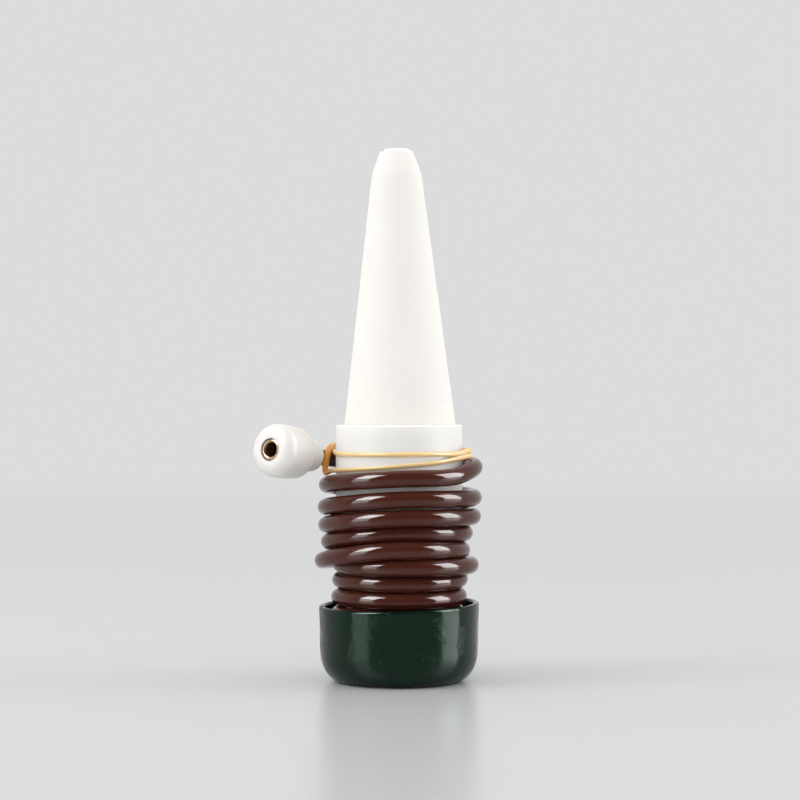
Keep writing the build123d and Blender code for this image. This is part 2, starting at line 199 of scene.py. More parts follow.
def strand(name, points, diameter, closed=False):
    """Curve object of one smooth spline through the neighbourhood of its points."""
    curve = bpy.data.curves.new(name, "CURVE")
    curve.dimensions = "3D"
    curve.resolution_u = CURVE_STEPS
    curve.bevel_depth = diameter / 2
    curve.bevel_resolution = BEVEL_STEPS
    curve.use_fill_caps = not closed
    curve.twist_mode = "MINIMUM"
    spline = curve.splines.new("NURBS")
    spline.points.add(len(points) - 1)
    for control, point in zip(spline.points, points):
        control.co = (*point, 1)
    spline.order_u = 3
    if closed:
        spline.use_cyclic_u = True
    else:
        spline.use_endpoint_u = True
    spline.use_smooth = True
    piece = bpy.data.objects.new(name, curve)
    bpy.context.collection.objects.link(piece)
    return piece


def make_active(piece):
    """The one selected object, which operators then work on."""
    deselect()
    piece.select_set(True)
    bpy.context.view_layer.objects.active = piece


def line_points(name, points):
    """Places along the smooth line that a strand follows between its points."""
    ruler = strand(name, points, 0)
    line = bpy.data.meshes.new_from_object(ruler)
    places = [vertex.co.copy() for vertex in line.vertices]
    bpy.data.objects.remove(ruler)
    bpy.data.meshes.remove(line)
    return places


hose_line = line_points("hose_line", hose_points)
hose = strand("hose", hose_points, HOSE_DIAMETER * MM)
make_active(hose)
bpy.ops.object.convert(target="MESH")
hose = bpy.context.object


# %% [markdown]
# The far end of the hose can be seen through the brass tube, so the hose gets its bore there: the
# end face is inset by the wall and pushed inwards, which leaves a dark hole. The same is done at
# the nipple's end.

# %% Bore at both ends of the hose
HOSE_WALL = 0.9
BORE_DEPTH = 3.0
HOSE_SHARP_ANGLE = radians(60)
FACING = 0.9


def pick_faces(piece, wanted):
    """Select the faces of a piece in edit mode whose centre and normal pass a test."""
    bpy.ops.mesh.select_mode(type="FACE")
    mesh = bmesh.from_edit_mesh(piece.data)
    mesh.faces.ensure_lookup_table()
    for face in mesh.faces:
        face.select_set(bool(wanted(face.calc_center_median(), face.normal)))
    mesh.select_flush_mode()
    bmesh.update_edit_mesh(piece.data)


def sink_bore(end, inwards):
    """Inset the end face of the hose and push it inwards."""
    near = 0.2 * HOSE_DIAMETER * MM

    def on_end(centre, normal):
        return (centre - end).length < near and normal.dot(inwards) < -FACING

    pick_faces(hose, on_end)
    bpy.ops.mesh.inset(thickness=HOSE_WALL * MM)
    bpy.ops.mesh.extrude_region_move(TRANSFORM_OT_translate={"value": inwards * BORE_DEPTH * MM})


bpy.ops.object.mode_set(mode="EDIT")
sink_bore(hose_line[-1], -tail_way)
sink_bore(hose_line[0], Vector((0, 0, 1)))
bpy.ops.object.mode_set(mode="OBJECT")
bpy.ops.object.shade_smooth_by_angle(angle=HOSE_SHARP_ANGLE)
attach(hose, "cap")
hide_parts("hose_lead", "hose_coil", "hose_tail")
print("bores sunk, now", len(hose.data.polygons), "faces")


# %% [markdown]
# The rubber band is one closed loop that goes twice round the collar. Two strands cross the front
# of the collar. On the right both hop over the topmost turn of the hose. On the left the upper
# one passes over the hose's end, and the lower one makes a bight that grips the hose's end from
# outside. It is drawn as a closed spline with a flattened section and then made a mesh, because a
# cut rubber band is wider than it is thick.
#
# The list follows the strand from the left along the upper front, round the back, over the hose's
# end, down the bight, along the lower front and round the back again. Beside each point stands how
# thick the band is there, as a share of its width.

# %% The route of the rubber band
BAND_WIDTH = 1.15
BAND_THICKNESS = 0.85
BAND_STEPS = 6


def spot(x, y, z):
    """Point in metres from millimetres."""
    return Vector((x, y, z)) * MM


band_route = [
    (spot(-15.3, 5.6, 54.55), 1.0),
    (spot(-15.6, 2.0, 54.30), 1.0),
    (place(15.62, 205, 53.85), 0.95),
    (place(15.55, 230, 53.90), 0.9),
    (place(15.55, 255, 53.97), 0.9),
    (place(15.55, 280, 54.00), 0.9),
    (place(15.55, 303, 54.03), 0.9),
    (place(15.70, 322, 53.95), 1.0),
    (place(16.10, 336, 54.05), 1.1),
    (place(16.75, 348, 54.80), 1.2),
    (place(17.10, 362, 54.70), 1.0),
    (place(17.30, 385, 54.60), 1.0),
    (place(16.20, 415, 55.10), 1.0),
    (place(15.75, 450, 55.60), 0.9),
    (place(15.80, 480, 56.00), 0.95),
    (spot(-13.9, 9.6, 55.95), 1.1),
    (spot(-15.4, 6.9, 55.80), 1.6),
    (spot(-16.6, 3.4, 55.10), 1.8),
    (spot(-17.1, 1.3, 53.70), 1.9),
    (spot(-17.4, 1.0, 51.90), 1.9),
    (spot(-17.6, 0.8, 50.20), 1.65),
    (spot(-17.7, 0.6, 49.20), 1.2),
    (spot(-16.9, -0.4, 49.45), 1.0),
    (spot(-16.1, -2.2, 49.95), 0.95),
    (place(15.62, 205, 50.10), 0.95),
    (place(15.55, 230, 50.45), 0.9),
    (place(15.55, 255, 50.88), 0.9),
    (place(15.55, 280, 51.45), 0.9),
    (place(15.60, 303, 51.95), 0.9),
    (place(15.75, 320, 52.55), 0.95),
    (place(16.25, 334, 53.05), 1.05),
    (place(16.95, 345, 53.35), 1.15),
    (place(17.35, 358, 53.40), 1.0),
    (place(17.30, 385, 53.60), 1.0),
    (place(16.40, 415, 53.95), 1.0),
    (place(15.75, 450, 54.25), 0.9),
    (place(15.80, 480, 54.45), 0.95),
    (spot(-14.3, 8.2, 54.75), 1.0),
]
print(len(band_route), "points on the band's route")


# %% Rubber band as a mesh strand
deselect()
# The circle is one millimetre across, so its scale is the band's thickness and width.
bpy.ops.curve.primitive_nurbs_circle_add(radius=0.5 * MM)
band_section = bpy.context.object
band_section.scale = (BAND_THICKNESS, BAND_WIDTH, 1)
bpy.ops.object.transform_apply(location=False, rotation=False, scale=True)
band_section.data.resolution_u = CURVE_STEPS

rubber_band = strand("rubber_band_loop", [point for point, swell in band_route], 0, closed=True)
rubber_band.data.bevel_mode = "OBJECT"
rubber_band.data.bevel_object = band_section
rubber_band.data.resolution_u = BAND_STEPS
for control, (point, swell) in zip(rubber_band.data.splines[0].points, band_route):
    control.radius = swell
make_active(rubber_band)
bpy.ops.object.convert(target="MESH")
rubber_band = bpy.context.object
bpy.data.objects.remove(band_section)
print("band:", len(rubber_band.data.polygons), "faces")
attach(rubber_band, "cap")
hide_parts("rubber_band")


# %% [markdown]
# The brass tube ends in a rolled rim: seen close, its mouth is a round bead and not a cut edge. Its
# section is walked round once, as pairs of distance from the tube's own axis and height along it.
# An open circle is extruded from pair to pair, which turns the section into a ring, and the ring is
# then tipped on to the weight's axis.

# %% Brass tube with a rolled rim
TUBE_OUTER = 2.65
TUBE_BORE = 2.05
BEAD_MOUTH = 1.62
WEIGHT_START = 11.10
TUBE_START = 5.05
TUBE_CREST = 15.95
TUBE_SIDES = 72
BEAD_STEPS = 10
TUBE_SHARP_ANGLE = radians(40)
MERGE_DISTANCE = 0.01 * MM


def raise_ring(rise, ratio, height):
    """Extrude the selected ring or face along the axis and scale it about the axis."""
    bpy.ops.mesh.extrude_region_move(TRANSFORM_OT_translate={"value": (0, 0, rise)})
    bpy.ops.transform.resize(value=(ratio, ratio, 1), center_override=(0, 0, height))


bead_radius = (TUBE_OUTER - BEAD_MOUTH) / 2
section = [(TUBE_OUTER, TUBE_START)]
for step in range(BEAD_STEPS + 1):
    angle = pi * step / BEAD_STEPS
    distance = TUBE_OUTER - bead_radius + bead_radius * cos(angle)
    section.append((distance, TUBE_CREST - bead_radius + bead_radius * sin(angle)))
section += [(TUBE_BORE, TUBE_CREST - 2 * bead_radius), (TUBE_BORE, TUBE_START)]
section.append((TUBE_OUTER, TUBE_START))

deselect()
bpy.ops.mesh.primitive_circle_add(
    vertices=TUBE_SIDES, radius=TUBE_OUTER * MM, location=(0, 0, TUBE_START * MM)
)
brass_tube = bpy.context.object
brass_tube.name = "brass_tube"
bpy.ops.object.transform_apply(location=True, rotation=False, scale=False)
bpy.ops.object.mode_set(mode="EDIT")
bpy.ops.mesh.select_mode(type="EDGE")
bpy.ops.mesh.select_all(action="SELECT")
for (distance, height), (next_distance, next_height) in zip(section, section[1:]):
    raise_ring((next_height - height) * MM, next_distance / distance, next_height * MM)
bpy.ops.mesh.select_all(action="SELECT")
bpy.ops.mesh.remove_doubles(threshold=MERGE_DISTANCE)
bpy.ops.mesh.normals_make_consistent(inside=False)
bpy.ops.object.mode_set(mode="OBJECT")
brass_tube.rotation_euler = tail_way.to_track_quat("Z", "Y").to_euler()
brass_tube.location = tail_start + tail_way * WEIGHT_START * MM
bpy.ops.object.transform_apply(location=True, rotation=True, scale=False)
bpy.ops.object.shade_smooth_by_angle(angle=TUBE_SHARP_ANGLE)
print("brass tube:", len(brass_tube.data.polygons), "faces")
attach(brass_tube, "weight")
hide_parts("weight_tube")


# %% [markdown]


# %% [markdown]
# The cone is unglazed ceramic, cast in a mould and left rough. It is hollow, and water seeps
# through its wall. A low disc with a bevelled foot is a good start: its top face is extruded ring
# by ring up the tapering wall, because short rings leave enough points to roughen the surface
# later. The tip of the real one is cut off flat and lightly chipped, and its foot is hidden in the
# collar.

# %% Cone outline from the frame
cone_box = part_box("ceramic_cone")
collar_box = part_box("collar")
CONE_SIDES = 160
CONE_LEAN = radians(0.75)
CONE_SHIFT = 0.36 * MM
FOOT_RADIUS = 13.0 * MM
RIM_RADIUS = 13.2 * MM
SHOULDER_RADIUS = 5.92 * MM
NOSE_RADIUS = 3.90 * MM
TIP_RADIUS = 2.70 * MM
NOSE_LENGTH = 6.5 * MM
TIP_BEVEL = 0.65 * MM
CHAMBER_WALL = 2.9 * MM
FOOT_BEVEL = 0.5 * MM
ROOM_FOR_ROUGHNESS = 0.16 * MM
NOSE_FULLNESS = 1.15
TIP_FULLNESS = 1.2

cone_top = cone_box[1].z - TIP_RADIUS * sin(CONE_LEAN) - ROOM_FOR_ROUGHNESS
cone_foot = cone_box[0].z + FOOT_RADIUS * sin(CONE_LEAN)
collar_top = collar_box[1].z
shoulder_height = cone_top - NOSE_LENGTH
outline = [(FOOT_RADIUS, cone_foot + FOOT_BEVEL), (RIM_RADIUS, collar_top)]
wall_rings = 72
for ring in range(1, wall_rings + 1):
    share = ring / wall_rings
    radius = RIM_RADIUS + (SHOULDER_RADIUS - RIM_RADIUS) * share
    outline.append((radius, collar_top + (shoulder_height - collar_top) * share))
nose_rings = 16
nose_height = NOSE_LENGTH - TIP_BEVEL
for ring in range(1, nose_rings + 1):
    share = ring / nose_rings
    radius = SHOULDER_RADIUS + (NOSE_RADIUS - SHOULDER_RADIUS) * share**NOSE_FULLNESS
    outline.append((radius, shoulder_height + nose_height * share))
bevel_rings = 4
for ring in range(1, bevel_rings + 1):
    share = ring / bevel_rings
    radius = NOSE_RADIUS + (TIP_RADIUS - NOSE_RADIUS) * share**TIP_FULLNESS
    outline.append((radius, cone_top - TIP_BEVEL * (1 - share)))
print("cone from", round(cone_foot, 4), "to", round(cone_top, 4), "in", len(outline), "rings")


# %% Cone raised ring by ring
deselect()
bpy.ops.mesh.primitive_cone_add(
    vertices=CONE_SIDES,
    radius1=FOOT_RADIUS - FOOT_BEVEL,
    radius2=FOOT_RADIUS,
    depth=FOOT_BEVEL,
    location=(0, 0, cone_foot + FOOT_BEVEL / 2),
)
cone = bpy.context.object
cone.name = "porous_cone"
bpy.ops.object.transform_apply(location=True, rotation=False, scale=False)
bpy.ops.object.mode_set(mode="EDIT")
pick_faces(cone, lambda centre, normal: normal.z > FACING)
for (radius, height), (next_radius, next_height) in zip(outline, outline[1:]):
    raise_ring(next_height - height, next_radius / radius, next_height)
tip_rings = 7
for ring in range(1, tip_rings):
    bpy.ops.mesh.inset(thickness=TIP_RADIUS / tip_rings)
bpy.ops.mesh.poke()
print("outer wall:", len(bmesh.from_edit_mesh(cone.data).faces), "faces")


# %% [markdown]
# The chamber holds the water that has seeped through the wall. It is made like the outside: the
# face under the foot is inset by the wall and extruded ring by ring up to a domed end. A boolean
# cut would do as well, but it leaves long thin faces that shade badly.

# %% Chamber inside the cone
CHAMBER_END_WALL = 6.5 * MM
chamber_top = cone_top - CHAMBER_END_WALL
slope = (RIM_RADIUS - SHOULDER_RADIUS) / (shoulder_height - collar_top)
chamber_rim = RIM_RADIUS - CHAMBER_WALL
chamber_end = chamber_rim - slope * (chamber_top - collar_top)
chamber = [(FOOT_RADIUS - CHAMBER_WALL, cone_foot), (chamber_rim, collar_top)]
chamber.append((chamber_end, chamber_top - chamber_end))
dome_rings = 6
for ring in range(1, dome_rings):
    angle = pi / 2 * ring / dome_rings
    chamber.append((chamber_end * cos(angle), chamber_top - chamber_end * (1 - sin(angle))))


def under_foot(centre, normal):
    return normal.z < -FACING and centre.z < cone_foot + FOOT_BEVEL / 2


pick_faces(cone, under_foot)
bpy.ops.mesh.inset(thickness=CHAMBER_WALL - FOOT_BEVEL)
for (radius, height), (next_radius, next_height) in zip(chamber, chamber[1:]):
    raise_ring(next_height - height, next_radius / radius, next_height)
bpy.ops.mesh.poke()
bpy.ops.object.mode_set(mode="OBJECT")
print("with its chamber:", len(cone.data.polygons), "faces")


# %% [markdown]
# Three things make the tip look broken off rather than turned: a small ledge where a flake has
# gone on the left, an edge that wavers, and a fine roughness all over. The ledge is a few
# selected points pressed flat to one height. The waver and the roughness are Displace modifiers
# with procedural cloud textures, each held to its part of the cone by a vertex group.

# %% Chipped tip
CHIP_DEPTH = 0.66 * MM
CHIP_EDGE = 2.75 * MM
CHIP_ANGLE = radians(186)
CHIP_WAVER = 0.18 * MM
CHIP_WAVES = 2.1 / MM
NOSE_FADE = 2.2 * MM
COLLAR_MARGIN = 0.5 * MM
SKIN_SHARE = 0.6
END_SHARE = 0.2


def pick_points(piece, wanted):
    """Select the points of a piece in edit mode that pass a test."""
    bpy.ops.mesh.select_mode(type="VERT")
    mesh = bmesh.from_edit_mesh(piece.data)
    for vertex in mesh.verts:
        vertex.select_set(bool(wanted(vertex.co)))
    mesh.select_flush_mode()
    bmesh.update_edit_mesh(piece.data)


def in_chip(point):
    """Points of the tip beyond a wavering line on its left."""
    reach = point.x * cos(CHIP_ANGLE) + point.y * sin(CHIP_ANGLE)
    along = point.y * cos(CHIP_ANGLE) - point.x * sin(CHIP_ANGLE)
    wander = CHIP_WAVER * sin(along * CHIP_WAVES)
    return point.z > cone_top - CHIP_DEPTH and reach > CHIP_EDGE + wander


make_active(cone)
bpy.ops.object.mode_set(mode="EDIT")
pick_points(cone, in_chip)
bpy.ops.transform.resize(value=(1, 1, 0), center_override=(0, 0, cone_top - CHIP_DEPTH))
bpy.ops.object.mode_set(mode="OBJECT")
nose = cone.vertex_groups.new(name="nose")
for vertex in cone.data.vertices:
    closeness = 1 - (cone_top - vertex.co.z) / NOSE_FADE
    nose.add([vertex.index], min(max(closeness, 0), 1), "REPLACE")
# The second group is the outer skin above the collar, so that the chamber stays smooth.
outside = cone.vertex_groups.new(name="outside")
for vertex in cone.data.vertices:
    reach = hypot(vertex.co.x, vertex.co.y)
    outer_radius = RIM_RADIUS - slope * max(vertex.co.z - collar_top, 0)
    in_skin = reach > outer_radius - SKIN_SHARE * CHAMBER_WALL
    above_collar = vertex.co.z > collar_top + COLLAR_MARGIN
    near_tip = vertex.co.z > chamber_top + END_SHARE * CHAMBER_END_WALL
    outside.add([vertex.index], float(above_collar and (in_skin or near_tip)), "REPLACE")
print("chip and vertex groups made")


# %% Rough surface
def roughen(piece, group, size, strength, depth):
    """Push the points of a vertex group in and out along their normals, and apply it."""
    texture = bpy.data.textures.new(group + "_clouds", "CLOUDS")
    texture.noise_scale = size
    texture.noise_depth = depth
    modifier = piece.modifiers.new(group + "_rough", "DISPLACE")
    modifier.texture = texture
    modifier.texture_coords = "LOCAL"
    modifier.vertex_group = group
    modifier.strength = strength
    modifier.mid_level = 0.5
    make_active(piece)
    bpy.ops.object.modifier_apply(modifier=modifier.name)


roughen(cone, "nose", size=1.1 * MM, strength=0.24 * MM, depth=2)
roughen(cone, "outside", size=5.0 * MM, strength=0.10 * MM, depth=3)
print("roughened:", len(cone.data.vertices), "points")


# %% [markdown]
# The real cone doesn't stand quite straight in its collar: it leans to the right by less than a
# degree, and sits a third of a millimetre to that side. It is tilted last, so that every ring
# above could be built round the plain vertical axis.

# %% Lean and finish of the cone
CONE_SHARP_ANGLE = radians(50)

make_active(cone)
bpy.ops.object.mode_set(mode="EDIT")
bpy.ops.mesh.select_all(action="SELECT")
bpy.ops.transform.rotate(value=CONE_LEAN, orient_axis="Y", center_override=(0, 0, cone_foot))
bpy.ops.transform.translate(value=(CONE_SHIFT, 0, 0))
bpy.ops.object.mode_set(mode="OBJECT")
bpy.ops.object.shade_smooth_by_angle(angle=CONE_SHARP_ANGLE)
top_point = max(cone.data.vertices, key=lambda vertex: vertex.co.z).co
print("cone top", [round(value / MM, 2) for value in top_point], "mm")
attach(cone, "spike")
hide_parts("ceramic_cone")


# %% [markdown]
# Surfaces next. Four small effects come back on several pieces, so each is a shader node group
# with named sockets: a soft mottle of two noises, a fine grain for bump, a scatter of specks for
# dust and pits, and fine lines along one direction for drawn or turned surfaces. Each material
# then gives them its own sizes. Sizes are in metres, and a noise scale of 1000 repeats about once
# each millimetre.

# %% Helpers for node trees
def new_group(name, inputs, outputs):
    """Shader node group with float inputs, given with their defaults, and named outputs."""
    group = bpy.data.node_groups.new(name, "ShaderNodeTree")
    for label, default in inputs.items():
        socket = group.interface.new_socket(label, in_out="INPUT", socket_type="NodeSocketFloat")
        socket.default_value = default
    for label in outputs:
        group.interface.new_socket(label, in_out="OUTPUT", socket_type="NodeSocketFloat")
    return group, group.nodes.new("NodeGroupInput"), group.nodes.new("NodeGroupOutput")


def object_coords(tree):
    """Place of a point on its own piece, in metres."""
    return tree.nodes.new("ShaderNodeTexCoord").outputs["Object"]


def feed(tree, socket, value):
    """Link a socket to another one, or set it to a value."""
    if isinstance(value, bpy.types.NodeSocket):
        tree.links.new(value, socket)
    else:
        socket.default_value = value


def noise(tree, coords, scale, detail=2.0, roughness=0.5):
    """Value of a noise texture, whose scale is a number or a socket."""
    node = tree.nodes.new("ShaderNodeTexNoise")
    tree.links.new(coords, node.inputs["Vector"])
    feed(tree, node.inputs["Scale"], scale)
    node.inputs["Detail"].default_value = detail
    node.inputs["Roughness"].default_value = roughness
    return node.outputs["Fac"]


def maths(tree, operation, first, second=0.0, clamp=False):
    """Result of one operation on two numbers or sockets."""
    node = tree.nodes.new("ShaderNodeMath")
    node.operation = operation
    node.use_clamp = clamp
    feed(tree, node.inputs[0], first)
    feed(tree, node.inputs[1], second)
    return node.outputs[0]


def remap(tree, value, low, high, to_low=0.0, to_high=1.0):
    """Stretch a value from one range to another, clamped at both ends."""
    node = tree.nodes.new("ShaderNodeMapRange")
    feed(tree, node.inputs["Value"], value)
    feed(tree, node.inputs["From Min"], low)
    feed(tree, node.inputs["From Max"], high)
    feed(tree, node.inputs["To Min"], to_low)
    feed(tree, node.inputs["To Max"], to_high)
    return node.outputs["Result"]


def blend_colours(tree, share, first, second):
    """Mix two colours, each an RGB triple or a socket, by a share."""
    node = tree.nodes.new("ShaderNodeMix")
    node.data_type = "RGBA"
    feed(tree, node.inputs["Factor"], share)
    for socket, colour in ((node.inputs[6], first), (node.inputs[7], second)):
        feed(tree, socket, colour if isinstance(colour, bpy.types.NodeSocket) else (*colour, 1))
    return node.outputs[2]


print("node helpers ready")


# %% Shared effects
def make_mottle():
    """Cloudy change of tone: broad patches with finer ones inside."""
    group, given, result = new_group("mottle", {"Scale": 100, "Contrast": 1}, ["Mask"])
    coords = object_coords(group)
    broad = noise(group, coords, given.outputs["Scale"], detail=3, roughness=0.6)
    spread = maths(group, "MULTIPLY", maths(group, "SUBTRACT", broad, 0.5), given.outputs["Contrast"])
    group.links.new(maths(group, "ADD", spread, 0.5, clamp=True), result.inputs["Mask"])
    return group


def make_grain():
    """Fine height for bump: grit on a gentle swell."""
    group, given, result = new_group("grain", {"Scale": 2000, "Swell": 0.3}, ["Height"])
    coords = object_coords(group)
    grit = noise(group, coords, given.outputs["Scale"], detail=2, roughness=0.6)
    swell_scale = maths(group, "MULTIPLY", given.outputs["Scale"], 0.08)
    swell = noise(group, coords, swell_scale, detail=1)
    swelled = maths(group, "MULTIPLY", swell, given.outputs["Swell"])
    group.links.new(maths(group, "ADD", grit, swelled), result.inputs["Height"])
    return group


def make_specks():
    """Scattered round specks. Amount is the share of cells that hold one."""
    group, given, result = new_group(
        "specks", {"Scale": 500, "Size": 0.2, "Amount": 0.2}, ["Mask"]
    )
    cells = group.nodes.new("ShaderNodeTexVoronoi")
    group.links.new(object_coords(group), cells.inputs["Vector"])
    group.links.new(given.outputs["Scale"], cells.inputs["Scale"])
    inner = maths(group, "MULTIPLY", given.outputs["Size"], 0.5)
    spot_mask = remap(group, cells.outputs["Distance"], given.outputs["Size"], inner)
    split = group.nodes.new("ShaderNodeSeparateColor")
    group.links.new(cells.outputs["Color"], split.inputs[0])
    chosen = maths(group, "LESS_THAN", split.outputs[0], given.outputs["Amount"])
    group.links.new(maths(group, "MULTIPLY", spot_mask, chosen), result.inputs["Mask"])
    return group


def make_streaks():
    """Fine lines drawn out along Z, as wear and mould marks run on an upright wall."""
    group, given, result = new_group("streaks", {"Scale": 300, "Stretch": 0.05}, ["Mask"])
    mapping = group.nodes.new("ShaderNodeMapping")
    join = group.nodes.new("ShaderNodeCombineXYZ")
    join.inputs[0].default_value = 1
    join.inputs[1].default_value = 1
    group.links.new(given.outputs["Stretch"], join.inputs[2])
    group.links.new(join.outputs[0], mapping.inputs["Scale"])
    group.links.new(object_coords(group), mapping.inputs["Vector"])
    lines = noise(group, mapping.outputs[0], given.outputs["Scale"], detail=3, roughness=0.65)
    group.links.new(lines, result.inputs["Mask"])
    return group


effects = {
    "mottle": make_mottle(),
    "grain": make_grain(),
    "specks": make_specks(),
    "streaks": make_streaks(),
}
print("effects:", ", ".join(effects))


# %% Helpers for materials
def new_material(name, **constants):
    """Material with a Principled BSDF whose plain values are set by socket name."""
    material = bpy.data.materials.new(name)
    material.use_nodes = True
    tree = material.node_tree
    shader = tree.nodes["Principled BSDF"]
    for label, value in constants.items():
        shader.inputs[label.replace("_", " ")].default_value = value
    return material, tree, shader


def effect(tree, name, **values):
    """Place a shared effect and give back its output."""
    node = tree.nodes.new("ShaderNodeGroup")
    node.node_tree = effects[name]
    for label, value in values.items():
        node.inputs[label].default_value = value
    return node.outputs[0]


def add_bump(tree, shader, height, distance, strength=1.0):
    """Bump from a height between 0 and 1, worth a distance in metres."""
    bump = tree.nodes.new("ShaderNodeBump")
    bump.inputs["Strength"].default_value = strength
    bump.inputs["Distance"].default_value = distance
    tree.links.new(height, bump.inputs["Height"])
    tree.links.new(bump.outputs["Normal"], shader.inputs["Normal"])


print("material helpers ready")


# %% [markdown]
# Cap: dark green plastic, moulded and glossy. Its reflections waver a little, because the wall
# shrank as it cooled, and it carries faint dust and handling marks. The waver is a bump from a
# broad noise, which leaves the shape alone. The marks change the roughness more than the colour,
# as they do on real gloss.

# %% Green plastic of the cap
def make_green():
    """Dark green gloss with faint marks and dust."""
    material, tree, shader = new_material(
        "green_gloss", IOR=1.52, Specular_IOR_Level=0.245, Specular_Tint=(0.76, 1.0, 0.87, 1)
    )
    tone = effect(tree, "mottle", Scale=90, Contrast=1.2)
    marks = effect(tree, "streaks", Scale=260, Stretch=0.12)
    dust = effect(tree, "specks", Scale=900, Size=0.16, Amount=0.05)
    body = blend_colours(tree, tone, (0.0009, 0.0082, 0.0037), (0.0024, 0.0135, 0.0062))
    dust_share = maths(tree, "MULTIPLY", dust, 0.35)
    tree.links.new(
        blend_colours(tree, dust_share, body, (0.20, 0.21, 0.20)), shader.inputs["Base Color"]
    )
    handled = remap(tree, effect(tree, "mottle", Scale=230, Contrast=3.0), 0.50, 0.85, 0.0, 0.24)
    gloss = maths(tree, "ADD", remap(tree, marks, 0.35, 0.75, 0.05, 0.12), handled)
    dulled = maths(tree, "ADD", gloss, maths(tree, "MULTIPLY", dust, 0.4))
    tree.links.new(dulled, shader.inputs["Roughness"])
    ripple = effect(tree, "grain", Scale=520, Swell=5.0)
    add_bump(tree, shader, ripple, 0.045 * MM)
    return material


cap_green = make_green()
print("made", cap_green.name)


# %% [markdown]
# Hose: soft brown plastic with an extruded, oily gloss. Light goes a little way into it, so its
# shaded sides turn red and not grey. Some subsurface scattering gives that, where a plain brown
# would look painted.

# %% Brown plastic of the hose
def make_brown():
    """Glossy brown plastic with a little light in it."""
    material, tree, shader = new_material("hose_brown", IOR=1.5, Specular_IOR_Level=0.35)
    tone = effect(tree, "mottle", Scale=140, Contrast=1.1)
    dust = effect(tree, "specks", Scale=1100, Size=0.15, Amount=0.04)
    body = blend_colours(tree, tone, (0.060, 0.0140, 0.0085), (0.077, 0.0190, 0.0120))
    dust_share = maths(tree, "MULTIPLY", dust, 0.3)
    tree.links.new(
        blend_colours(tree, dust_share, body, (0.45, 0.40, 0.37)), shader.inputs["Base Color"]
    )
    wear = effect(tree, "mottle", Scale=420, Contrast=1.5)
    tree.links.new(remap(tree, wear, 0.2, 0.8, 0.07, 0.14), shader.inputs["Roughness"])
    shader.inputs["Subsurface Weight"].default_value = 0.12
    shader.inputs["Subsurface Radius"].default_value = (1.0, 0.25, 0.15)
    shader.inputs["Subsurface Scale"].default_value = 1.2 * MM
    add_bump(tree, shader, effect(tree, "grain", Scale=900, Swell=2.5), 0.012 * MM)
    return material


hose_brown = make_brown()
print("made", hose_brown.name)


# %% [markdown]
# Collar and insert: polypropylene. The collar's is milky: light spreads inside it, which hides
# edges and gives the soft glow beside the darker hose. The insert's is coloured dark green, and
# hardly lets any light in. One function makes both, because they differ only in tone, in gloss
# and in how much light spreads inside.

# %% Milky and dark polypropylene
def make_polypropylene(name, light, dark, glow, roughness):
    """Mottled plastic between two tones. Glow is how much light spreads inside it."""
    material, tree, shader = new_material(name, IOR=1.49, Specular_IOR_Level=0.20)
    tone = effect(tree, "mottle", Scale=70, Contrast=1.0)
    scuff = effect(tree, "specks", Scale=700, Size=0.12, Amount=0.03)
    body = blend_colours(tree, tone, dark, light)
    tree.links.new(
        blend_colours(tree, maths(tree, "MULTIPLY", scuff, 0.25), body, (0.45, 0.43, 0.40)),
        shader.inputs["Base Color"],
    )
    marks = effect(tree, "streaks", Scale=240, Stretch=0.15)
    tree.links.new(
        remap(tree, marks, 0.3, 0.75, roughness - 0.06, roughness + 0.08), shader.inputs["Roughness"]
    )
    shader.inputs["Subsurface Weight"].default_value = glow
    shader.inputs["Subsurface Radius"].default_value = (1.0, 0.88, 0.78)
    shader.inputs["Subsurface Scale"].default_value = 2.5 * MM
    add_bump(tree, shader, effect(tree, "grain", Scale=1200, Swell=2.0), 0.010 * MM)
    return material


insert_plastic = make_polypropylene(
    "insert_plastic",
    light=(0.055, 0.088, 0.055),
    dark=(0.040, 0.068, 0.042),
    glow=0.05,
    roughness=0.38,
)
collar_plastic = make_polypropylene(
    "collar_plastic",
    light=(0.895, 0.88, 0.855),
    dark=(0.86, 0.845, 0.82),
    glow=0.55,
    roughness=0.42,
)
print("made", insert_plastic.name, "and", collar_plastic.name)


# %% [markdown]
# Cone: dry, chalky ceramic. It has hardly any gloss, a grain of a few tenths of a millimetre,
# faint warm patches, and a few open pores. Pores this small are best drawn, as a bump and a
# darker tone, which is painted shade in the hollow. Two larger pits are placed where the real
# cone has them, by their distance from a point, and are darkened by the same painted shade.

# %% Porous ceramic
PIT_RADIUS = 0.30 * MM
pits = [spot(-5.2, -12.0, 62.7), spot(-0.25, -6.0, 117.9)]


